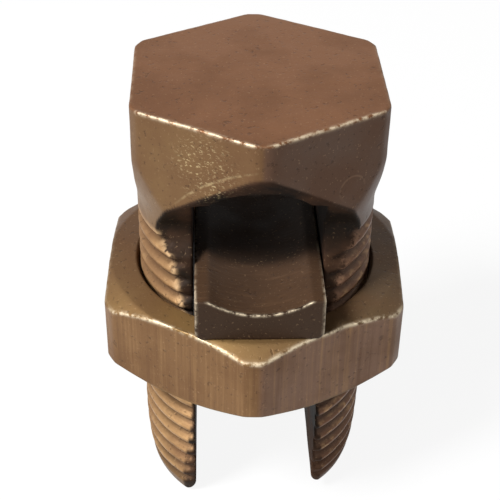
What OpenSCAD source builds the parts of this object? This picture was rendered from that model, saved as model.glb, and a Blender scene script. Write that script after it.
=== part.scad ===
// Split bolt connector: a slotted bolt, a hex nut and a sliding pressure bar.
// The bolt stands along Z, head up, on the ends of its legs, and the origin is on its axis at their lower end.
// The conductor passes along Y through the slot between the two threaded legs at -X and +X.

/* [Bolt head] */
// Width across the flats of the head
head_af = 22.2; // [18:0.1:28]
// Thickness of metal between the head's top face and the crown of the seat
crown_h = 5.6; // [4:0.1:8]
// How far the head's corners are blunted
head_blunt = 0.35; // [0:0.05:1]
// Depth below the top face at which the head's corners start to taper away
taper_top = 4.9; // [2:0.1:8]
// Depth below the top face at which the taper meets the round shank
taper_end = 10.9; // [8:0.1:14]

/* [Conductor slot] */
// Width of the slot between the legs
slot_w = 11.83; // [9:0.01:15]
// Radius of the seat in the crown, half of the largest conductor
seat_r = 5.3; // [4:0.1:6]
// Depth below the top face of the seat's flat shoulders
shoulder_drop = 8; // [6.5:0.1:10]
// Distance from the axis to the bottom of the hollow in the front and the back
hollow_y = 6.38; // [5.5:0.01:9]
// Radius of the bottom of the hollow
hollow_r = 2.1; // [1:0.1:4]
// Depth below the top face of the bottom of the hollow
hollow_drop = 12.2; // [10:0.1:15]

/* [Thread] */
// Outside diameter of the thread and of the shank
thread_d = 22.2; // [18:0.1:28]
// Distance from one thread ridge to the next
pitch = 1.7; // [1.4:0.01:2]
// Height of a ridge of the thread
thread_h = 0.9; // [0.5:0.05:1.1]
// Depth below the top face at which the thread starts
thread_top = 12; // [11.5:0.1:16]
// Clearance between the bolt's thread and the nut's thread
thread_gap = 0.14; // [0.05:0.01:0.25]

/* [Legs] */
// Height from the end of the leg at -X to the head's top face
total_h = 44.6; // [38:0.1:55]
// How much shorter the leg at +X is
leg_short = 1; // [0:0.1:2]
// How far the leg's end is drawn in from the thread's outside
nose_in = 1; // [0:0.1:2]
// Length over which the leg's end is drawn in
nose_l = 2.2; // [1:0.1:6]
// Radius of the long taper on the front and back edges of the legs
toe_r = 60; // [30:1:120]
// Height above the leg's end at which that taper starts
toe_start = 14.6; // [8:0.1:20]
// Break of the leg's front and back corners at the very end
toe_break = 0.8; // [0.2:0.1:2]

/* [Nut] */
// Width across the flats of the nut
nut_af = 27.9; // [25:0.1:34]
// Height of the nut
nut_h = 8.27; // [6:0.01:12]
// Turn of the nut about the bolt, in degrees
nut_turn = -2.1; // [-30:0.1:30]
// Height of the corner chamfers
nut_chamfer = 1.2; // [0:0.1:2]
// How far the nut's corners are blunted
nut_blunt = 0.45; // [0:0.05:1]
// Radius of the mouths of the nut's hole
mouth_r = 11.45; // [11.2:0.05:12.5]
// Depth below the head's top face of the nut's top face
nut_drop = 19.27; // [12.3:0.01:40]

/* [Pressure bar] */
// Width of the bar
bar_w = 11.5; // [9:0.1:15]
// Length of the bar, over both ends
bar_l = 26.7; // [20:0.1:32]
// Height of the bar at its lips
bar_h = 4.15; // [3:0.05:6]
// Width of the groove between the lips
groove_w = 9; // [6:0.1:10]
// Depth of the groove
groove_h = 1.45; // [0.5:0.05:2.5]

/* [Hidden] */
$fn = 96;
r_out = thread_d / 2;
r_root = r_out - thread_h;
half_slot = slot_w / 2;
head_c = head_af / sqrt(3);
nut_c = nut_af / sqrt(3);
top_z = total_h;
seat_z = top_z - crown_h - seat_r;
leg_top_z = top_z - thread_top - 0.3;
nut_top_z = top_z - nut_drop;
nut_low_z = nut_top_z - nut_h;
groove_r = (groove_w * groove_w / 4 + groove_h * groove_h) / (2 * groove_h);
flank = thread_h * tan(30);
crest = (pitch - 2 * flank) / 2;
thread_z = 0.35;
bronze = [0.45, 0.33, 0.22];
nut_bronze = [0.50, 0.38, 0.25];
bar_bronze = [0.47, 0.34, 0.25];

// Radius of a leg at height h above its end, where it is drawn in.
function nose(h) = r_out - nose_in * exp(-h / nose_l);

// Height of row k of the thread above its start: crest, crest, root, root in each turn.
function row_z(k) = floor(k / 4) * pitch + [0, crest, crest + flank, pitch - flank][k % 4];

// Depth below the crest of row k.
function row_depth(k) = (k % 4 < 2) ? 0 : thread_h;

// A six-sided prism with two flats across X, between two heights.
module hex_prism(corner_r, low, high) {
    translate([0, 0, low])
        rotate([0, 0, 30])
            cylinder(r = corner_r, h = high - low, $fn = 6);
}

// The blank under the head: six-sided above, drawn in to the round shank below.
module head_blank() {
    intersection() {
        hex_prism(head_c, top_z - thread_top - 0.6, top_z);
        translate([0, 0, top_z])
            rotate_extrude()
                polygon([[0, 0], [head_c - head_blunt, 0], [head_c - head_blunt, -taper_top - 0.6], [r_out, -taper_end],
                         [r_out, -thread_top], [r_root, -thread_top - 0.6], [0, -thread_top - 0.6]]);
    }
}

// One threaded leg, from height low up to the shank. Its rows follow the helix, so that each ridge keeps its edge
// all round and both legs carry one thread. turn is the angle of the leg's middle about the bolt.
module leg(turn, low) {
    cols = 12;
    n = cols + 1;
    phase = pitch * turn / 360;
    base = thread_z + ceil(low / pitch) * pitch;
    rows = len([for (k = [0 : 4 * ceil(leg_top_z / pitch)]) if (base + phase + row_z(k) < leg_top_z - 0.4) k]);
    // heights of the rows; the first and the last row are level
    hs = [for (k = [0 : rows]) k == 0 ? low : (k == rows ? leg_top_z : base + phase + row_z(k))];
    pts = [for (k = [0 : rows]) for (i = [0 : cols])
        let (level = (k == 0 || k == rows))
        let (u = 2 * i / cols - 1)
        let (a = u * acos(half_slot / nose(hs[k] - low)))
        let (z = level ? hs[k] : hs[k] + pitch * a / 360)
        let (r = nose(z - low) - (k == rows ? 0 : row_depth(k)))
        (i == 0 || i == cols)
            ? [half_slot, sign(u) * sqrt(r * r - half_slot * half_slot), z]
            : [max(r * cos(a), half_slot + 0.01), r * sin(a), z]];
    skin = [for (k = [0 : rows - 1]) for (i = [0 : cols - 1]) each
        [[k * n + i, (k + 1) * n + i, (k + 1) * n + i + 1], [k * n + i, (k + 1) * n + i + 1, k * n + i + 1]]];
    wall = [for (k = [0 : rows - 1]) each
        [[k * n, k * n + cols, (k + 1) * n + cols], [k * n, (k + 1) * n + cols, (k + 1) * n]]];
    low_cap = [[for (i = [0 : cols]) i]];
    high_cap = [[for (i = [cols : -1 : 0]) rows * n + i]];
    rotate([0, 0, turn])
        polyhedron(points = pts, faces = concat(skin, wall, low_cap, high_cap), convexity = 8);
}

// The slot with its seat, as an outline across X and up from the legs' tips.
module slot_outline() {
    translate([-half_slot, -1])
        square([slot_w, 1 + top_z - shoulder_drop]);
    translate([0, seat_z])
        circle(r = seat_r);
}

// The hollow in the front or the back, as an outline across Y and down from the top face.
module hollow_outline() {
    far = 16;
    cy = hollow_y + hollow_r;
    lean = 52.5;
    // where the sloping roof of the hollow leaves its round bottom
    ty = cy - hollow_r * sin(lean);
    tz = -hollow_drop + hollow_r * cos(lean);
    polygon([[ty, tz], [far, tz + (far - ty) * tan(lean)], [far, -23.5], [9.5, -23.5],
             [8.3, -hollow_drop - 2], [cy, -hollow_drop]]);
    translate([cy, -hollow_drop])
        circle(r = hollow_r);
}

// What the long taper takes off the back edges of the legs, as an outline across Y and up from their ends.
module toe_outline() {
    edge = sqrt(r_out * r_out - half_slot * half_slot);
    difference() {
        translate([0, -1])
            square([16, toe_start + 1]);
        translate([edge - toe_r, toe_start])
            circle(r = toe_r, $fn = 192);
    }
    translate([edge - toe_start * toe_start / (2 * toe_r) - toe_break, -1])
        polygon([[0, 0], [8, 0], [8, 9], [toe_break + 1, 1 + 2.5 * toe_break], [0, 1]]);
}

// Cuts the hollow and the taper in the back; the front is its mirror image.
module end_cut() {
    translate([-20, 0, 0])
        rotate([90, 0, 90])
            linear_extrude(40) {
                translate([0, top_z])
                    hollow_outline();
                toe_outline();
            }
}

module bolt() {
    color(bronze)
        difference() {
            union() {
                head_blank();
                leg(180, 0);
                leg(0, leg_short);
            }
            translate([0, 20, 0])
                rotate([90, 0, 0])
                    linear_extrude(40)
                        slot_outline();
            end_cut();
            mirror([0, 1, 0])
                end_cut();
        }
}

// The ridge of the nut's own thread, swept along the helix between the ridges of the bolt.
module nut_thread() {
    per_turn = 36;
    r_tip = r_root + thread_gap;
    r_back = r_out + 0.35;
    // half the ridge's width at radius r, with the gap taken off square to its sides
    function half_w(r) = crest / 2 + (r - r_root) * tan(30) - thread_gap / cos(30);
    first = thread_z + 1.5 * crest + flank;
    start = first + pitch * ceil((nut_low_z + 0.9 - first) / pitch);
    steps = floor(per_turn * (nut_top_z - 0.9 - start) / pitch);
    section = [[r_back, -half_w(r_back)], [r_tip, -half_w(r_tip)], [r_tip, half_w(r_tip)], [r_back, half_w(r_back)]];
    pts = [for (k = [0 : steps]) let (a = 360 * k / per_turn)
        for (q = section) [q[0] * cos(a), q[0] * sin(a), start + pitch * k / per_turn + q[1]]];
    skin = [for (k = [0 : steps - 1]) for (i = [0 : 3]) let (j = (i + 1) % 4) each
        [[4 * k + i, 4 * k + 4 + j, 4 * k + j], [4 * k + i, 4 * k + 4 + i, 4 * k + 4 + j]]];
    caps = [[0, 1, 2, 3], [4 * steps + 3, 4 * steps + 2, 4 * steps + 1, 4 * steps]];
    polyhedron(points = pts, faces = concat(skin, caps), convexity = 8);
}

module nut() {
    corner_r = nut_c - nut_blunt;
    bevel_h = nut_chamfer * (corner_r - nut_af / 2) / (nut_c - nut_af / 2);
    bore_r = r_out + thread_gap;
    color(nut_bronze) {
        translate([0, 0, nut_low_z])
            difference() {
                intersection() {
                    rotate([0, 0, nut_turn])
                        hex_prism(nut_c, 0, nut_h);
                    rotate_extrude()
                        polygon([[0, 0], [nut_af / 2, 0], [corner_r, bevel_h],
                                 [corner_r, nut_h - bevel_h], [nut_af / 2, nut_h], [0, nut_h]]);
                }
                translate([0, 0, -1])
                    cylinder(r = bore_r, h = nut_h + 2);
                translate([0, 0, nut_h - 0.5])
                    cylinder(r1 = bore_r, r2 = mouth_r + 0.01, h = 0.52);
                translate([0, 0, -0.02])
                    cylinder(r1 = mouth_r + 0.01, r2 = bore_r, h = 0.52);
            }
        nut_thread();
    }
}

module pressure_bar() {
    edge = bar_w / 2;
    color(bar_bronze)
        translate([0, bar_l / 2, nut_top_z + 0.02])
            rotate([90, 0, 0])
                linear_extrude(bar_l)
                    difference() {
                        polygon([[-edge + 0.35, 0], [edge - 0.35, 0], [edge, 0.5], [edge, bar_h],
                                 [-edge, bar_h], [-edge, 0.5]]);
                        translate([0, bar_h - groove_h + groove_r])
                            circle(r = groove_r);
                    }
}

bolt();
nut();
pressure_bar();
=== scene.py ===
import bmesh
import bpy
import numpy as np
from math import cos, pi, radians, sin, sqrt, tan
from mathutils import Matrix, Vector


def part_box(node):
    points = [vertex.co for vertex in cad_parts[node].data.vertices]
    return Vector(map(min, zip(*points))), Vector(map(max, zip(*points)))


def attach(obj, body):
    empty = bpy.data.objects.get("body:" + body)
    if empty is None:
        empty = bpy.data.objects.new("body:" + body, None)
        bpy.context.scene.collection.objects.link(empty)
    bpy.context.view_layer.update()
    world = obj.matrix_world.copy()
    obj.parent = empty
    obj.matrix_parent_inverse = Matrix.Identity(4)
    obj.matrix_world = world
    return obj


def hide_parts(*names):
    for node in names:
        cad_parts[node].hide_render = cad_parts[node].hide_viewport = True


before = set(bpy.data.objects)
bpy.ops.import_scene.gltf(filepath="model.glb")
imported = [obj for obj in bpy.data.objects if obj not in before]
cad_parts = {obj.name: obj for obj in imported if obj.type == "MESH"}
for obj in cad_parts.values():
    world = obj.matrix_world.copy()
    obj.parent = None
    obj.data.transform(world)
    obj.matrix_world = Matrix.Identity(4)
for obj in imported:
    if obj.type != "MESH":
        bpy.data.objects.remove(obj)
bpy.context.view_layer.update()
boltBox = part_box("bolt")
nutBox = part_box("nut")
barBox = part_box("pressure_bar")
print("stage: frame loaded")

# The shapes below are worked out in millimetres and scaled when their meshes are made.


def smoothStep(low, high, x):
    # 0 below low, 1 above high, a soft S between them
    t = np.clip((x - low) / (high - low), 0.0, 1.0)
    return t * t * (3.0 - 2.0 * t)


def softMin(a, b, width):
    # the smaller of a and b, with the corner between them rounded over width
    h = np.clip(0.5 + 0.5 * (b - a) / width, 0.0, 1.0)
    return b + (a - b) * h - width * h * (1.0 - h)


def cellNumber(ix, iy, iz, seed):
    # a fixed number from 0 to 1 for each whole-number cell, from its mixed bits
    n = (ix * 374761393 + iy * 668265263 + iz * 1440662683 + seed * 1446647) & 0xFFFFFFFF
    n = ((n ^ (n >> 13)) * 1274126177) & 0xFFFFFFFF
    return ((n ^ (n >> 16)) & 0xFFFF) / 65535.0


def lumps(points, size, seed):
    # smooth noise from -1 to 1: the numbers of the eight cell corners, blended along each axis
    p = points / size
    cell = np.floor(p).astype(np.int64)
    f = p - cell
    f = f * f * (3.0 - 2.0 * f)
    total = 0.0
    for dx in (0, 1):
        for dy in (0, 1):
            for dz in (0, 1):
                share = np.abs(1 - dx - f[..., 0]) * np.abs(1 - dy - f[..., 1]) * np.abs(1 - dz - f[..., 2])
                corner = cell + np.array([dx, dy, dz])
                total = total + share * cellNumber(corner[..., 0], corner[..., 1], corner[..., 2], seed)
    return total * 2.0 - 1.0


def polar(r, angle, z):
    # points at radius r, angle and height z
    return np.stack([r * np.cos(angle), r * np.sin(angle), np.broadcast_to(z, np.shape(r * angle))], axis=-1)


def endDense(count, share):
    # count numbers from 0 to 1, share of them drawn towards both ends by a cosine
    s = np.linspace(0.0, 1.0, count)
    return (1.0 - share) * s + share * (0.5 - 0.5 * np.cos(pi * s))


def easeCorner(grid, index, reach, passes, closed=False, weight=1.0):
    # rounds the fold at one row: each pass moves the rows near it towards the mean of their neighbours
    rows = np.arange(grid.shape[0])
    away = np.abs(rows - index)
    if closed:
        away = np.minimum(away, grid.shape[0] - away)
    pull = np.exp(-(away / reach) ** 2)[:, None, None] * weight
    for _ in range(passes):
        if closed:
            mean = 0.5 * (np.roll(grid, 1, axis=0) + np.roll(grid, -1, axis=0))
        else:
            mean = grid.copy()
            mean[1:-1] = 0.5 * (grid[:-2] + grid[2:])
        grid = grid + 0.5 * pull * (mean - grid)
    return grid


def gridFaces(rows, cols, closed, first):
    # four-sided faces between neighbouring rows and columns; closed joins the last column to the first
    index = first + np.arange(rows * cols).reshape(rows, cols)
    right = np.roll(index, -1, axis=1) if closed else index[:, 1:]
    left = index if closed else index[:, :-1]
    return np.stack([left[:-1], right[:-1], right[1:], left[1:]], axis=-1).reshape(-1, 4)


def makePiece(name, patches):
    # patches are (points, marks, closed): a grid of points in millimetres, and its marks' values by name
    points, faces, marks, first = [], [], {}, 0
    for grid, values, closed in patches:
        rows, cols = grid.shape[:2]
        points.append(grid.reshape(-1, 3) * 0.001)
        faces.append(gridFaces(rows, cols, closed, first))
        for key, value in values.items():
            marks.setdefault(key, []).append(np.broadcast_to(value, (rows, cols)).reshape(-1))
        first += rows * cols
    points, faces = np.concatenate(points), np.concatenate(faces)
    mesh = bpy.data.meshes.new(name)
    mesh.vertices.add(len(points))
    mesh.vertices.foreach_set("co", points.astype(np.float32).ravel())
    mesh.loops.add(faces.size)
    mesh.loops.foreach_set("vertex_index", faces.astype(np.int32).ravel())
    mesh.polygons.add(len(faces))
    mesh.polygons.foreach_set("loop_start", (np.arange(len(faces)) * 4).astype(np.int32))
    mesh.update(calc_edges=True)
    for key, value in marks.items():
        layer = mesh.attributes.new(key, "FLOAT", "POINT")
        layer.data.foreach_set("value", np.concatenate(value).astype(np.float32))
    shell = bmesh.new()
    shell.from_mesh(mesh)
    bmesh.ops.remove_doubles(shell, verts=shell.verts, dist=2e-6)
    bmesh.ops.dissolve_degenerate(shell, edges=shell.edges, dist=1e-7)
    bmesh.ops.recalc_face_normals(shell, faces=shell.faces)
    shell.to_mesh(mesh)
    shell.free()
    mesh.polygons.foreach_set("use_smooth", np.ones(len(mesh.polygons), dtype=bool))
    piece = bpy.data.objects.new(name, mesh)
    bpy.context.scene.collection.objects.link(piece)
    return piece


print("stage: helpers ready")

# The bolt: one closed skin. Columns run round the head and each leg, rows run down from the top face.

bolt = {
    "topZ": boltBox[1][2] * 1000.0,
    "headAcross": (boltBox[1][0] - boltBox[0][0]) * 1000.0,
    "cornerCut": 0.35,
    "taperTop": 5.5, "taperEnd": 10.9,
    "slotWidth": 11.83, "seatRadius": 5.3, "crown": 5.6, "shoulder": 8.0,
    "hollowY": 6.38, "hollowRadius": 2.1, "hollowDrop": 12.2, "hollowLean": radians(52.5),
    "threadRadius": 11.1, "threadDepth": 0.9, "pitch": 1.7, "threadStart": 0.35, "threadEnd": 32.3,
    "legShort": 1.0, "legMiddle": 8.3, "drawnIn": 1.0, "drawnOver": 2.2,
    "toeRadius": 60.0, "toeStart": 14.6, "toeBreak": 0.25, "endRound": 0.7, "wallRound": 1.7,
    "headRows": 40, "legColumns": 92, "wallColumns": 38, "slotColumns": 46, "capRows": 12,
    "flatTop": 7.75, "flatRun": 1.55, "flatFrom": 14.2, "flatOver": 9.3,
}
halfSlot = bolt["slotWidth"] / 2
flankRun = bolt["threadDepth"] * tan(radians(30))
crestRun = (bolt["pitch"] - 2 * flankRun) / 2
slotEdgeY = sqrt(bolt["threadRadius"] ** 2 - halfSlot ** 2)


def hexRadius(angle, across, turn=0.0):
    # distance from the axis to a hexagon's side, with two sides facing along X before the turn
    a = np.mod(angle - turn + pi / 6, pi / 3) - pi / 6
    return across / 2 / np.cos(a)


def threadDepthAt(angle, z):
    # how deep the thread's groove is: flat crest, slope, flat root, slope, with softened corners
    s = np.mod(z - bolt["threadStart"] - bolt["pitch"] * angle / (2 * pi), bolt["pitch"])
    down = (s - crestRun) / flankRun
    up = (bolt["pitch"] - s) / flankRun
    depth = np.clip(softMin(softMin(down, up, 0.25), 1.0, 0.25), 0.0, 1.0)
    return bolt["threadDepth"] * depth


def cutY(z, low):
    # how far from the middle plane the front and back faces stand at height z: hollow above, long taper below
    drop = bolt["topZ"] - z
    cy, r, lean = bolt["hollowY"] + bolt["hollowRadius"], bolt["hollowRadius"], bolt["hollowLean"]
    roofDrop = bolt["hollowDrop"] - r * cos(lean)
    roof = cy - r * sin(lean) + (roofDrop - drop) / tan(lean)
    bottom = cy - np.sqrt(np.maximum(r * r - (drop - bolt["hollowDrop"]) ** 2, 0.0))
    runOut = bolt["flatTop"] + bolt["flatRun"] * (drop - bolt["flatFrom"]) / bolt["flatOver"]
    y = np.where(drop < roofDrop, roof, np.where(drop < bolt["hollowDrop"] + 2.0, bottom, runOut))
    under = np.maximum(bolt["toeStart"] - z, 0.0)
    toe = slotEdgeY - bolt["toeRadius"] + np.sqrt(bolt["toeRadius"] ** 2 - under ** 2)
    y = np.where(drop < bolt["flatFrom"] + bolt["flatOver"], y, 30.0)
    y = softMin(y, np.where(z < bolt["toeStart"], toe, 30.0), 0.05)
    lastY = slotEdgeY - bolt["toeStart"] ** 2 / (2 * bolt["toeRadius"]) - bolt["toeBreak"]
    return softMin(y, lastY + 0.9 * (z - low), 0.3)


def endInset(z, low, radius):
    # how far a side draws in at a leg's end, as a quarter round of this radius
    left = np.clip(radius - (z - low), 0.0, radius)
    return radius - np.sqrt(radius ** 2 - left ** 2)


def boltRadius(angle, z, low):
    # distance from the axis to the outside: hexagon, taper to the shank, thread, and the front and back faces
    drop = bolt["topZ"] - z
    corner = bolt["headAcross"] / sqrt(3) - bolt["cornerCut"]
    r = softMin(hexRadius(angle, bolt["headAcross"]), corner, 0.12)
    slope = (corner - bolt["threadRadius"]) / (bolt["taperEnd"] - bolt["taperTop"])
    taper = -softMin(-(corner + slope * (bolt["taperTop"] - drop)), -bolt["threadRadius"], 0.25)
    r = softMin(r, taper, 0.18)
    threaded = smoothStep(bolt["threadEnd"], bolt["threadEnd"] - 0.5, z) * smoothStep(low + 1.2, low + 2.6, z)
    shank = bolt["threadRadius"] - bolt["drawnIn"] * np.exp(-np.maximum(z - low, 0.0) / bolt["drawnOver"])
    r = np.where(z < bolt["threadEnd"], np.minimum(r, shank) - threadDepthAt(angle, z) * threaded, r)
    toCut = cutY(z, low) / np.maximum(np.abs(np.sin(angle)), 1e-3)
    return softMin(r, toCut, 0.12) - endInset(z, low, bolt["endRound"])


def turningPoint(holds, shape, low, high):
    # the angle at which holds() turns false, between two angles in degrees, found by halving the gap 40 times
    near, far = np.full(shape, radians(low)), np.full(shape, radians(high))
    for _ in range(40):
        middle = 0.5 * (near + far)
        beyond = holds(middle)
        near, far = np.where(beyond, middle, near), np.where(beyond, far, middle)
    return 0.5 * (near + far)


def slotEdgeAngle(z, low, turn, side):
    # the angle from a leg's middle at which its outside meets the slot's wall: radius x cosine = wall's x
    wallX = halfSlot + endInset(z, low, bolt["wallRound"])
    return turningPoint(
        lambda angle: boltRadius(turn + side * angle, z, low) * np.cos(angle) > wallX, np.shape(z), 20, 75)


def legRows(turn, low):
    # heights of a leg's rows: even above the thread, then on the corners of the thread's own outline
    phase = bolt["threadStart"] + bolt["pitch"] * turn / (2 * pi)
    above = np.linspace(bolt["topZ"] - bolt["shoulder"], bolt["threadEnd"], 22)
    steps = np.array([0, crestRun / 2, crestRun, crestRun + flankRun / 2, crestRun + flankRun,
                      crestRun * 1.5 + flankRun, crestRun * 2 + flankRun, bolt["pitch"] - flankRun / 2])
    inThread = (phase + np.arange(-2, 22)[:, None] * bolt["pitch"] + steps).ravel()
    inThread = inThread[(inThread < bolt["threadEnd"] - 0.3) & (inThread > low + 2.2)][::-1]
    return np.concatenate([above, inThread, low + 2.0 * (1 - np.sin(np.linspace(0.0, pi / 2, 18)))])


def seatHeight(x):
    # height of the slot's roof: the round seat in the middle, flat shoulders beside it
    seat = bolt["topZ"] - bolt["crown"] - bolt["seatRadius"]
    seat = seat + np.sqrt(np.maximum(bolt["seatRadius"] ** 2 - x * x, 0.0))
    return -softMin(-seat, -(bolt["topZ"] - bolt["shoulder"]), 0.25)


def halfSkin(turn, low, headZ):
    # one half's outside: columns between the slot's edges, rows from the top face to the leg's end.
    # The thread's rows climb by pitch x angle / full turn, so that they follow its ridges.
    around = endDense(bolt["legColumns"], 0.45) * 2 - 1
    z = np.concatenate([headZ, legRows(turn, low)[1:]])[:, None] + 0.0 * around
    threaded = smoothStep(bolt["threadEnd"] + 0.1, bolt["threadEnd"] - 0.5, z)
    threaded = threaded * smoothStep(low + 0.9, low + 2.2, z)
    for climb in (bolt["pitch"], 0.0):
        back, front = (slotEdgeAngle(z, low, turn, side) for side in (-1, 1))
        local = np.where(around < 0, back, front) * around
        z = z + climb * local / (2 * pi) * threaded
    return polar(boltRadius(turn + local, z, low), turn + local, z)


def closeLeg(outer, turn, low, across):
    # a leg as rings: its outside, then the slot's wall, and an end that closes in on the leg's middle
    wall = outer[:, -1:] + (outer[:, :1] - outer[:, -1:]) * across[None, :, None]
    wall[..., 0] = (halfSlot + endInset(wall[..., 2], low, bolt["wallRound"])) * cos(turn)
    ring = np.concatenate([outer, wall[:, 1:-1]], axis=1)
    middle = np.array([bolt["legMiddle"] * cos(turn), 0.0, low])
    inward = (np.linspace(0, 1, bolt["capRows"])[1:] ** 1.6)[:, None, None]
    ring = np.concatenate([ring, ring[-1] + (middle - ring[-1]) * inward])
    shoulderZ = bolt["topZ"] - bolt["shoulder"]
    belowHead = smoothStep(shoulderZ - 0.02, shoulderZ - 0.5, ring[:, 0, 2])[None, :, None]
    turned = ring.transpose(1, 0, 2)
    for edge in (0, bolt["legColumns"] - 1):
        turned = easeCorner(turned, edge, 1.8, 5, closed=True, weight=belowHead)
    return easeCorner(turned.transpose(1, 0, 2), len(outer) - 1, 1.8, 6)


def slotSector(slotX, sign, down):
    # the outside over the slot, front or back: its columns keep the slot's x, its rows end at the slot's roof
    z = bolt["topZ"] - (bolt["topZ"] - seatHeight(slotX))[None, :] * down[:, None]
    angle = sign * turningPoint(
        lambda angle: boltRadius(sign * angle, z, 0.0) * np.cos(angle) > slotX[None, :], z.shape, 10, 170)
    return polar(boltRadius(angle, z, 0.0), angle, z)


def buildBolt():
    # the top face and the head as rings, each leg as rings, and the roof as a strip between the sectors
    topZ, rows = bolt["topZ"], bolt["headRows"]
    down = endDense(rows, 0.5)
    across = endDense(bolt["wallColumns"], 0.85)
    slotX = (endDense(bolt["slotColumns"], 0.6) * 2 - 1) * halfSlot
    head, legs = {}, {}
    for side, turn, low in (("right", 0.0, bolt["legShort"]), ("left", pi, 0.0)):
        skin = halfSkin(turn, low, topZ - bolt["shoulder"] * down)
        head[side] = skin[:rows]
        legs[side] = closeLeg(skin[rows - 1:], turn, low, across)
    front, back = (slotSector(slotX, sign, down) for sign in (-1.0, 1.0))
    roof = front[-1] + (back[-1] - front[-1]) * across[:, None, None]
    strip = np.concatenate([front, roof[1:-1], back[::-1]])
    awayFromWalls = smoothStep(0.0, 0.9, halfSlot - np.abs(slotX))[None, :, None]
    frontEdge, backEdge = rows - 1, rows + bolt["wallColumns"] - 2
    for edge in (frontEdge, backEdge):
        strip = easeCorner(strip, edge, 1.6, 5, weight=awayFromWalls)
    front, roof, back = strip[:rows], strip[frontEdge:backEdge + 1], strip[backEdge:][::-1]
    ring = np.concatenate([head["right"], back[:, ::-1][:, 1:-1], head["left"], front[:, 1:-1]], axis=1)
    nearEdge = 1.0 - np.array([0.11, 0.25, 0.42, 0.65]) / 12.0
    share = np.concatenate([nearEdge, np.linspace(0.92, 0.0, 22)])[::-1, None]
    x, y = ring[0, :, 0] * share, ring[0, :, 1] * share
    top = np.stack([x, y, topZ + 0 * x], axis=-1)
    ring = easeCorner(np.concatenate([top, ring]), len(share), 1.5, 5)
    return ring, legs, roof


def roughen(grid, seed, amount):
    # the forging's unevenness: broad waves and finer lumps, added along each axis
    shift = np.stack(
        [lumps(grid, 3.1, seed + k) + 0.5 * lumps(grid, 1.1, seed + 9 + k) for k in range(3)], axis=-1)
    return grid + amount * shift


def nearness(distance, width):
    # 1 on an edge, falling to 0 over about two widths
    return np.exp(-(distance / width) ** 2)


def press(grid, centre, reach, depth):
    # a dent: points near the centre go in towards the axis and down
    pull = depth * nearness(np.linalg.norm(grid - np.array(centre), axis=-1), reach)
    fromAxis = np.maximum(np.hypot(grid[..., 0], grid[..., 1]), 1e-6)[..., None]
    away = grid * np.array([1.0, 1.0, 0.0]) / fromAxis
    return grid - (away + np.array([0.0, 0.0, 0.6])) * pull[..., None]


def burr(grid, rim, size, height, seed):
    # pushes the points near an edge up and out by uneven lumps
    away = np.stack([grid[..., 0], grid[..., 1], np.hypot(grid[..., 0], grid[..., 1])], axis=-1)
    away = away / np.maximum(np.linalg.norm(away, axis=-1, keepdims=True), 1e-6)
    return grid + away * (height * rim * (0.4 + lumps(grid, size, seed)))[..., None]


def boltMarks(grid, inner):
    # where the head's front edge, the thread's ridges, the cut faces and the slot's walls are, for the finish
    # with its painted shade and painted highlights
    angle, r, z = np.arctan2(grid[..., 1], grid[..., 0]), np.hypot(grid[..., 0], grid[..., 1]), grid[..., 2]
    low = np.where(grid[..., 0] > 0, bolt["legShort"], 0.0)
    fromRim = np.hypot(hexRadius(angle, bolt["headAcross"]) - r, bolt["topZ"] - z)
    # front: how strongly the pale rims show, mostly at the front as painted highlights
    front = 0.2 + 0.8 * smoothStep(-5.6, -6.8, grid[..., 1])
    faceY = cutY(z, low)
    # the cut faces of the hollow and the leg flats, darkened in the finish as dark patina and painted shade
    cutPatinaAndShade = smoothStep(0.3, 0.1, faceY - np.abs(grid[..., 1]))
    cutPatinaAndShade = cutPatinaAndShade * smoothStep(bolt["topZ"] - 2.6, bolt["topZ"] - 3.2, z)
    wall = smoothStep(0.35, 0.05, np.abs(grid[..., 0]) - halfSlot) * inner
    threaded = smoothStep(bolt["threadEnd"] + 0.2, bolt["threadEnd"] - 0.4, z)
    aboveNut = threaded * smoothStep(19.0, 20.5, z)
    crestX = np.sqrt(np.maximum(bolt["threadRadius"] ** 2 - faceY ** 2, 0.0))
    cutPatinaAndShade = np.maximum(cutPatinaAndShade, smoothStep(-0.05, 0.2, crestX - np.abs(grid[..., 0])) * aboveNut)
    depth = (bolt["threadRadius"] - r) / bolt["threadDepth"]
    return {
        "rim": nearness(fromRim, 0.2) * front,
        "onTop": smoothStep(0.3, 0.08, bolt["topZ"] - z),
        # right: the right-hand side, whose darker tones are partly patina and partly painted shade
        "right": smoothStep(-0.15, 0.25, grid[..., 0]),
        "cutPatinaAndShade": cutPatinaAndShade,
        # throat: the slot's walls and the cut faces beside them, painted near black as shade
        "throatShade": np.maximum(cutPatinaAndShade * smoothStep(halfSlot + 0.6, halfSlot, np.abs(grid[..., 0])), wall),
        "ridge": smoothStep(0.6, 0.1, depth) * threaded,
        # groove: the thread's roots, darkened in the finish as painted shade
        "groove": smoothStep(0.45, 0.95, depth) * threaded * (1 - wall) * smoothStep(low, low + 1.5, z),
        # tip: the thread's cut ends, painted pale as highlights
        "tipGlint": nearness(crestX - np.abs(grid[..., 0]), 0.3) * aboveNut * smoothStep(0.9, 0.3, np.abs(depth)),
    }


def boltPatch(grid, closed, seed, inner):
    marks = boltMarks(grid, inner)
    return burr(roughen(grid, seed, 0.02), marks["rim"], 0.55, 0.09, seed + 1), marks, closed


headSkin, legSkins, roofSkin = buildBolt()
boltPiece = makePiece("boltSkin", [
    boltPatch(headSkin, True, 11, 0.0), boltPatch(legSkins["right"], True, 11, 1.0),
    boltPatch(legSkins["left"], True, 11, 1.0), boltPatch(roofSkin, False, 11, 1.0)])
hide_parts("bolt")
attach(boltPiece, "bolt")
print("stage: bolt", len(boltPiece.data.polygons))

# The nut: one closed skin. Its rows run from the top face out, down, back under and up the thread.

nut = {
    "lowZ": nutBox[0][2] * 1000.0, "topZ": nutBox[1][2] * 1000.0,
    "across": 27.9, "turn": radians(-2.1), "cornerCut": 0.45, "bevel": 0.556,
    "columns": 372, "sink": 0.5, "mouth": 11.45, "bore": 11.24, "ridgeTip": 10.34, "gap": 0.14,
}


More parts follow.
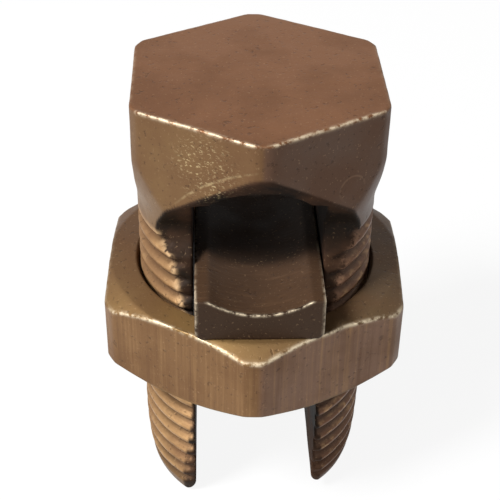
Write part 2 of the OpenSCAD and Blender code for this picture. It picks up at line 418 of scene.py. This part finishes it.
def nutBore(angle, z):
    # the nut's inside: a ridge on the line of the bolt's groove, with 30 degree slopes, short of both mouths
    s = z - bolt["threadStart"] - 1.5 * crestRun - flankRun - bolt["pitch"] * angle / (2 * pi)
    off = np.abs(np.mod(s + bolt["pitch"] / 2, bolt["pitch"]) - bolt["pitch"] / 2)
    tipHalf = crestRun / 2 + nut["gap"] * tan(radians(30)) - nut["gap"] / cos(radians(30))
    r = nut["ridgeTip"] + np.clip((off - tipHalf) / tan(radians(30)), 0.0, nut["bore"] - nut["ridgeTip"])
    inside = smoothStep(nut["lowZ"] + 0.6, nut["lowZ"] + 1.3, z)
    inside = inside * smoothStep(nut["topZ"] - 0.6, nut["topZ"] - 1.3, z)
    return nut["bore"] + (r - nut["bore"]) * inside


def buildNut():
    # rings of (radius, height) rows: top face, bevel, side, bevel, underside, mouth, thread, mouth
    angle = np.linspace(0, 2 * pi, nut["columns"], endpoint=False)[None, :]
    corner = nut["across"] / sqrt(3) - nut["cornerCut"]
    out = softMin(hexRadius(angle, nut["across"], nut["turn"]), corner, 0.12)
    start = np.minimum(nut["across"] / 2 - 0.02, out - 0.1)
    bevel = (out - start) * nut["bevel"]
    top, low, sink, flat = nut["topZ"], nut["lowZ"], nut["sink"], 0 * angle
    face = nut["mouth"] + (start - nut["mouth"]) * endDense(16, 0.7)[:, None]
    slope = np.linspace(0, 1, 7)[1:-1, None]
    side = (top - bevel) + (low - top + 2 * bevel) * endDense(30, 0.6)[:, None]
    boreZ = np.linspace(low + sink, top - sink, 50)[:, None]
    funnel = np.linspace(0, 1, 5)[1:-1, None]
    rows = [
        (face, top + 0 * face),
        (start + (out - start) * slope, top - bevel * slope),
        (out + 0 * side, side),
        (out + (start - out) * slope, low + bevel * (1 - slope)),
        (face[::-1], low + 0 * face),
        (nut["mouth"] + (nut["bore"] - nut["mouth"]) * funnel + flat, low + sink * funnel + flat),
        (nutBore(angle, boreZ), boreZ + flat),
        (nut["bore"] + (nut["mouth"] - nut["bore"]) * funnel + flat, top - sink + sink * funnel + flat),
    ]
    r, z = (np.concatenate([row[k] for row in rows]) for k in (0, 1))
    grid = polar(r, angle, z)
    ends = np.cumsum([len(row[0]) for row in rows])
    for edge in (0, ends[0] - 1, ends[1], ends[2] - 1, ends[3] - 1, ends[4] - 1):
        grid = easeCorner(grid, edge, 1.2, 3, closed=True)
    r, z = np.hypot(grid[..., 0], grid[..., 1]), grid[..., 2]
    fromEdge = np.minimum(np.abs(z - (top - bevel)), np.abs(z - (low + bevel)))
    # front: how strongly the pale rims show, mostly at the front as painted highlights
    front = 0.25 + 0.75 * smoothStep(-7.0, -8.6, grid[..., 1])
    marks = {
        "rim": nearness(np.hypot(out - r, z - (top - bevel)), 0.2) * front,
        "flat": smoothStep(0.02, 0.25, fromEdge) * (r > out - 0.15),
        "right": smoothStep(-0.3, 0.3, grid[..., 0]),
        "bore": smoothStep(nut["mouth"] + 0.1, nut["mouth"] - 0.1, r),
    }
    return np.concatenate([grid, grid[:1]]), {
        key: np.concatenate([value, value[:1]]) for key, value in marks.items()}


nutSkin, nutMarks = buildNut()
nutSkin = press(nutSkin, (8.2, -11.9, nut["topZ"]), 0.8, 0.4)
nutSkin = burr(roughen(nutSkin, 41, 0.012), nutMarks["rim"], 0.6, 0.08, 42)
nutPiece = makePiece("nutSkin", [(nutSkin, nutMarks, True)])
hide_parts("nut")
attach(nutPiece, "nut")
print("stage: nut", len(nutPiece.data.polygons))

# The pressure bar: its outline carried from front to back, with both ends closed.

bar = {
    "lowZ": barBox[0][2] * 1000.0, "topZ": barBox[1][2] * 1000.0, "front": barBox[0][1] * 1000.0,
    "half": 5.75, "grooveHalf": 4.5, "grooveDepth": 1.45, "foot": 0.35, "footUp": 0.5,
}


def sideRuns(corners, counts):
    # points along each side of an outline, without each side's last point
    return [np.array(p) + (np.array(q) - np.array(p)) * endDense(count, 0.6)[:-1, None]
            for p, q, count in zip(corners[:-1], corners[1:], counts)]


def buildBar():
    # the outline runs from the lower left corner round to the right, over the groove's arc and back
    half, low, top, groove = bar["half"], bar["lowZ"], bar["topZ"], bar["grooveHalf"]
    foot, footZ = half - bar["foot"], low + bar["footUp"]
    right = sideRuns([(-foot, low), (foot, low), (half, footZ), (half, top), (groove, top)], (40, 6, 18, 8))
    left = sideRuns([(-groove, top), (-half, top), (-half, footZ), (-foot, low)], (8, 18, 6))
    left[0] = left[0][1:]
    arcR = (groove ** 2 + bar["grooveDepth"] ** 2) / (2 * bar["grooveDepth"])
    x = groove * (1 - 2 * endDense(44, 0.4))
    arc = np.stack([x, top - bar["grooveDepth"] + arcR - np.sqrt(arcR ** 2 - x ** 2)], axis=-1)
    runs = right + [arc] + left
    outline = np.concatenate(runs)
    # the ends close in on a point inside the outline, in shells that lie close together near the edge
    inward = np.concatenate([np.array([0.08, 0.2, 0.4, 0.8]) / 3.0, np.linspace(0.4, 1.0, 9)])
    centre = np.array([0.0, low + 1.5])
    shells = [centre + (outline - centre) * (1 - t) for t in inward]
    along = bar["front"] * (1 - 2 * endDense(96, 0.5))
    ys = np.concatenate([np.full(len(inward), along[0]), along, np.full(len(inward), along[-1])])
    rings = shells[::-1] + [outline] * len(along) + shells
    grid = np.stack([
        np.stack([ring[:, 0], np.full(len(ring), y), ring[:, 1]], axis=-1) for ring, y in zip(rings, ys)])
    turned = grid.transpose(1, 0, 2)
    ends = np.cumsum([len(run) for run in runs])
    for edge in (0, *ends[:4], ends[4] - 1, *ends[5:7]):
        turned = easeCorner(turned, edge, 1.2, 3, closed=True)
    grid = turned.transpose(1, 0, 2)
    for edge in (len(inward), len(inward) + len(along) - 1):
        grid = easeCorner(grid, edge, 1.3, 4)
    x, y, z = np.abs(grid[..., 0]), grid[..., 1], grid[..., 2]
    end = np.abs(np.abs(y) + bar["front"])
    belowTop = np.maximum(top - z - bar["grooveDepth"] * (1 - (x / groove) ** 2), 0)
    skin = np.where(x > half - 0.3, half - x, belowTop)
    # front: how strongly the pale rims show, mostly at the front as painted highlights
    front = 0.3 + 0.7 * smoothStep(-9.0, -12.0, y)
    endRim, topRim = (nearness(np.hypot(*gaps), 0.15) for gaps in ((end, skin), (half - x, top - z)))
    return grid, {
        "rim": np.maximum(endRim, topRim) * front,
        # end: the front and back faces, darkened in the finish as painted shade
        "end": smoothStep(0.3, 0.1, end),
        # inside: the middle that lies in the slot, darkened in the finish as painted shade
        "inside": smoothStep(-7.2, -5.2, y) * smoothStep(7.2, 5.2, y),
    }


barSkin, barMarks = buildBar()
barPiece = makePiece("barSkin", [(roughen(barSkin, 71, 0.012), barMarks, True)])
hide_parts("pressure_bar")
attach(barPiece, "bar")
print("stage: bar", len(barPiece.data.polygons))

# Finishes: bronze, browned by oxide, with painted shade and painted highlights in places.


class Signal:
    # a socket whose operators add Math nodes
    def __init__(self, tree, socket):
        self.tree, self.socket = tree, socket

    def math(self, operation, *items, clamp=False):
        settings = {"operation": operation, "use_clamp": clamp}
        return addNode(self.tree, "ShaderNodeMath", settings, dict(enumerate(items)))

    def __add__(self, other):
        return self.math("ADD", self, other)

    def __sub__(self, other):
        return self.math("SUBTRACT", self, other)

    def __rsub__(self, other):
        return self.math("SUBTRACT", other, self)

    def __mul__(self, other):
        return self.math("MULTIPLY", self, other)

    __radd__, __rmul__ = __add__, __mul__

    def between(self, low, high):
        # 0 at low, 1 at high and a straight ramp from one to the other
        return self.math("MULTIPLY_ADD", self, 1 / (high - low), -low / (high - low), clamp=True)

    def larger(self, other):
        return self.math("MAXIMUM", self, other)


def addNode(tree, kind, settings=None, inputs=None, output=0):
    # a node of this kind, its settings first, then its inputs' values or links; gives one of its outputs
    node = tree.nodes.new(kind)
    for key, value in (settings or {}).items():
        setattr(node, key, value)
    for key, value in (inputs or {}).items():
        if isinstance(value, Signal):
            tree.links.new(value.socket, node.inputs[key])
        else:
            node.inputs[key].default_value = value
    return Signal(tree, node.outputs[output])


def tone(red, green, blue):
    # a screen colour, 0 to 255, as the linear numbers that a shader takes
    return (*(((part / 255 + 0.055) / 1.055) ** 2.4 for part in (red, green, blue)), 1.0)


class Finish:
    # one material, with the patterns that the pieces share
    def __init__(self, name):
        self.material = bpy.data.materials.new(name)
        self.material.use_nodes = True
        self.tree = self.material.node_tree
        self.shader = self.tree.nodes["Principled BSDF"]
        self.place = addNode(self.tree, "ShaderNodeTexCoord", output="Object")
        self.feed("Specular IOR Level", 0.12)

    def feed(self, name, value):
        if isinstance(value, Signal):
            self.tree.links.new(value.socket, self.shader.inputs[name])
        else:
            self.shader.inputs[name].default_value = value

    def noise(self, scale, detail=3.0, place=None, rough=0.55):
        # cloudy noise from 0 to 1, scale cells to a metre
        return addNode(self.tree, "ShaderNodeTexNoise", {"noise_dimensions": "3D"}, {
            "Vector": place or self.place, "Scale": scale, "Detail": detail, "Roughness": rough}, "Fac")

    def stretched(self, x, y, z):
        return addNode(self.tree, "ShaderNodeMapping", {"vector_type": "POINT"}, {
            "Vector": self.place, "Scale": (x, y, z)})

    def along(self, axis):
        return addNode(self.tree, "ShaderNodeSeparateXYZ", None, {0: self.place}, axis)

    def distance(self, x, y, z):
        # how far, in metres, from a point given in millimetres
        return addNode(self.tree, "ShaderNodeVectorMath", {"operation": "DISTANCE"}, {
            0: self.place, 1: (x / 1000, y / 1000, z / 1000)}, "Value")

    def nearPoint(self, x, y, z, reach):
        # 1 within two fifths of the reach from a point, 0 past its reach, all in millimetres
        return self.distance(x, y, z).between(reach / 1000, reach / 2500)

    def nearArc(self, x, y, z, radius, width):
        # 1 on a line at this radius from a point, 0 past its width, all in millimetres
        away = self.distance(x, y, z) - radius / 1000
        return away.math("ABSOLUTE", away).between(width / 1000, width / 3000)

    def mark(self, name):
        return addNode(self.tree, "ShaderNodeAttribute", {"attribute_name": name}, output="Fac")

    def mix(self, share, first, second):
        # first x (1 - share) + second x share, for colours
        return addNode(self.tree, "ShaderNodeMix", {"data_type": "RGBA"}, {0: share, 6: first, 7: second}, 2)

    def wearAndGlints(self, colour, stainDark, height, dull):
        # what all three pieces share: stains, dark pits, pale specks, pale rubbed edges that are strongest at
        # the front as painted highlights, and grain
        stain = self.noise(140, 5).between(0.42, 0.62)
        colour = self.mix(stain * 0.5, colour, stainDark)
        pits = self.noise(2300, 2).between(0.62, 0.7)
        colour = self.mix(pits * 0.4, colour, tone(48, 33, 25))
        specks = self.noise(3900, 2).between(0.64, 0.72)
        colour = self.mix(specks * 0.16, colour, tone(205, 170, 130))
        # pale rims: rubbed edges, strongest at the front where they are painted highlights
        rim = self.mark("rim") * self.noise(1300, 4, rough=0.7).between(0.4, 0.56)
        self.feed("Base Color", self.mix(rim, colour, tone(226, 208, 178)))
        grain = self.noise(5200, 3)
        self.feed("Roughness", stain * 0.14 + grain * 0.1 + dull * 0.3 + 0.36)
        self.feed("Metallic", 0.45 - dull * 0.4)
        height = height + grain * 0.25 + self.noise(700, 3) * 0.9 - pits * 0.6
        self.feed("Normal", addNode(self.tree, "ShaderNodeBump", None, {
            "Strength": 0.5, "Distance": 0.00006, "Height": height}))
        return self.material


# Where the head is scarred: a point and its reach, or an arc's centre, radius and width, in millimetres.
scarred = {
    "struck": (-4.6, -10.1, 41.0, 3.8),
    "leftArc": (5.86, -16.2, 22.93, 20.5, 0.16), "leftArcPart": (-4.0, -10.5, 39.9, 5.2),
    "rightArc": (7.93, -8.24, 37.8, 1.3, 0.14), "rightArcPart": (7.6, -8.4, 39.0, 2.4),
}


def boltFinish():
    # olive brown on the left, darker on the right partly as patina and partly as painted shade, golden thread
    # ridges, thread roots darkened as painted shade, cut faces darkened as dark patina and painted shade, the
    # throat painted near black as shade, and pale thread tips as painted highlights
    finish = Finish("brownBronze")
    # the right-hand tones here and below are darker partly as patina and partly as painted shade
    right = finish.mark("right")
    side = finish.mix(right, tone(120, 92, 62), tone(96, 76, 64))
    colour = finish.mix(finish.mark("onTop"), side, tone(121, 81, 52))
    ridge = finish.mix(right, tone(172, 134, 92), tone(116, 84, 64))
    rubbed = finish.noise(1.0, 3, finish.stretched(900, 900, 2600)).between(0.5, 0.66)
    ridge = finish.mix(rubbed * 0.5, ridge, tone(206, 166, 118))
    colour = finish.mix(finish.mark("ridge"), colour, ridge)
    # the thread's roots darkened: painted shade
    colour = finish.mix(finish.mark("groove") * 0.85, colour, tone(50, 36, 27))
    # the cut faces darkened: dark patina and painted shade
    colour = finish.mix(finish.mark("cutPatinaAndShade"), colour, tone(31, 24, 18))
    # the slot's walls and throat painted near black: painted shade
    colour = finish.mix(finish.mark("throatShade"), colour, tone(22, 18, 15))
    # pale thread tips: painted highlight, darker on the right partly as painted shade
    tipGlint = finish.mark("tipGlint") * finish.noise(1600, 2).between(0.4, 0.5) * 0.8
    colour = finish.mix(tipGlint, colour, finish.mix(right, tone(222, 184, 138), tone(170, 130, 104)))
    # the left front side of the head is scarred, and each front side has one curved scratch
    speckle = finish.noise(2900, 4, finish.stretched(1.0, 1.0, 1.8), 0.65).between(0.57, 0.62)
    scars = finish.nearPoint(*scarred["struck"]) * speckle
    leftArc = finish.nearArc(*scarred["leftArc"]) * finish.nearPoint(*scarred["leftArcPart"])
    leftArc = leftArc * finish.noise(1500, 3).between(0.4, 0.56) * 0.8
    rightArc = finish.nearArc(*scarred["rightArc"]) * finish.nearPoint(*scarred["rightArcPart"])
    worn = scars.larger(leftArc).larger(rightArc * 0.4)
    colour = finish.mix(worn * 0.75, colour, finish.mix(right, tone(206, 184, 138), tone(170, 140, 112)))
    dull = finish.mark("throatShade").larger(finish.mark("cutPatinaAndShade") * 0.5)
    return finish.wearAndGlints(colour, tone(96, 66, 47), worn * -0.8, dull)


def nutFinish():
    # brown at the rear of the top, olive gold at its front corners, and drawn streaks down the sides; the
    # top's darkening towards the rear and the right is painted shade
    finish = Finish("drawnBronze")
    # the top darkens towards the rear and the right: painted shade
    rearShade = finish.along(1).between(-0.012, 0.002)
    leftTop = finish.mix(rearShade, tone(142, 112, 70), tone(95, 69, 47))
    rightTop = finish.mix(rearShade, tone(104, 82, 57), tone(75, 58, 44))
    top = finish.mix(finish.along(0).between(-0.006, 0.009), leftTop, rightTop)
    side = finish.mix(finish.mark("right"), tone(126, 94, 63), tone(126, 98, 80))
    drawn = finish.noise(1.0, 4, finish.stretched(1900, 1900, 40), 0.7)
    side = finish.mix(drawn.between(0.52, 0.7) * 0.5, side, tone(170, 134, 92))
    side = finish.mix(drawn.between(0.46, 0.3) * 0.55, side, tone(92, 66, 48))
    flat = finish.mark("flat")
    colour = finish.mix(flat, top, side)
    return finish.wearAndGlints(colour, tone(104, 74, 50), flat * drawn * 0.3, finish.mark("bore"))


def barFinish():
    # dark brown with fine tool marks across, darker at the ends and where it lies in the slot, both as
    # painted shade
    finish = Finish("barBronze")
    arcs = finish.noise(1.0, 2, finish.stretched(400, 3600, 400))
    colour = finish.mix(arcs.between(0.55, 0.75) * 0.35, tone(92, 67, 48), tone(130, 98, 70))
    # the end faces darkened: painted shade
    colour = finish.mix(finish.mark("end"), colour, tone(62, 47, 36))
    # the middle in the slot darkened: painted shade
    colour = finish.mix(finish.mark("inside") * 0.85, colour, tone(24, 20, 17))
    return finish.wearAndGlints(colour, tone(66, 48, 36), arcs * 0.6, finish.mark("inside"))


for piece, material in ((boltPiece, boltFinish()), (nutPiece, nutFinish()), (barPiece, barFinish())):
    piece.data.materials.append(material)
print("stage: finishes")

# The camera, the lamps and the floor.

view = {
    "position": (-0.00447, -0.09399, 0.09352), "aim": (-0.00044, 0.0, 0.02546), "roll": 1.03, "lens": 85.9,
}


def placeCamera():
    # looks from position to aim, upright but for a small roll
    camera = bpy.data.cameras.new("camera")
    camera.lens = view["lens"]
    camera.clip_start = 0.005
    holder = bpy.data.objects.new("camera", camera)
    bpy.context.scene.collection.objects.link(holder)
    position, aim = Vector(view["position"]), Vector(view["aim"])
    turn = (aim - position).to_track_quat("-Z", "Y").to_matrix().to_4x4()
    holder.matrix_world = Matrix.Translation(position) @ turn @ Matrix.Rotation(radians(view["roll"]), 4, "Z")
    bpy.context.scene.camera = holder


def addLamp(name, position, aim, size, power):
    # a white square lamp that faces its aim
    lamp = bpy.data.lights.new(name, "AREA")
    lamp.shape, lamp.size, lamp.size_y = "RECTANGLE", size[0], size[1]
    lamp.energy = power
    holder = bpy.data.objects.new(name, lamp)
    bpy.context.scene.collection.objects.link(holder)
    holder.matrix_world = Matrix.Translation(Vector(position)) @ (
        Vector(aim) - Vector(position)).to_track_quat("-Z", "Y").to_matrix().to_4x4()


def whiteForSight(tree):
    # 1 for the rays that see a background: from the camera, from gloss and through clear stuff
    paths = tree.nodes.new("ShaderNodeLightPath")
    sight = Signal(tree, paths.outputs["Is Camera Ray"])
    for name in ("Is Glossy Ray", "Is Transmission Ray"):
        sight = sight.larger(Signal(tree, paths.outputs[name]))
    return sight


studio = {
    "lamps": {
        "key": ((-0.26, -0.18, 0.40), (0, 0, 0.02), (0.12, 0.12), 3.1),
        "fill": ((-0.38, -0.32, 0.16), (0, 0, 0.02), (0.2, 0.2), 0.6),
    },
    "floorHalf": 3, "floorGrey": 0.6, "floorGlow": 1.1, "floorGlowShare": 0.82, "worldShare": 0.12,
}


def makeFloor():
    # pale and matt, and mostly plain white to the eye, so that only a faint shadow shows
    far = studio["floorHalf"]
    mesh = bpy.data.meshes.new("floor")
    mesh.from_pydata([(-far, -far, 0), (far, -far, 0), (far, far, 0), (-far, far, 0)], [], [(0, 1, 2, 3)])
    floor = bpy.data.objects.new("floor", mesh)
    bpy.context.scene.collection.objects.link(floor)
    material = bpy.data.materials.new("floorPaint")
    material.use_nodes = True
    tree = material.node_tree
    paint = tree.nodes["Principled BSDF"]
    paint.inputs["Base Color"].default_value = (*[studio["floorGrey"]] * 3, 1)
    paint.inputs["Roughness"].default_value = 0.9
    glow = addNode(tree, "ShaderNodeEmission", None, {"Strength": studio["floorGlow"]})
    share = whiteForSight(tree) * studio["floorGlowShare"]
    blend = addNode(tree, "ShaderNodeMixShader", None, {0: share, 1: Signal(tree, paint.outputs[0]), 2: glow})
    tree.links.new(blend.socket, tree.nodes["Material Output"].inputs["Surface"])
    mesh.materials.append(material)


def makeWorld():
    # white to the eye, and a weaker even light for the rest
    world = bpy.data.worlds.new("studio")
    bpy.context.scene.world = world
    world.use_nodes = True
    tree = world.node_tree
    background = tree.nodes["Background"]
    background.inputs["Color"].default_value = (1.0, 1.0, 1.0, 1.0)
    strength = whiteForSight(tree) * (1 - studio["worldShare"]) + studio["worldShare"]
    tree.links.new(strength.socket, background.inputs["Strength"])


placeCamera()
for name, (position, aim, size, power) in studio["lamps"].items():
    addLamp(name, position, aim, size, power)
makeFloor()
makeWorld()
bpy.context.scene.view_settings.view_transform = "Standard"
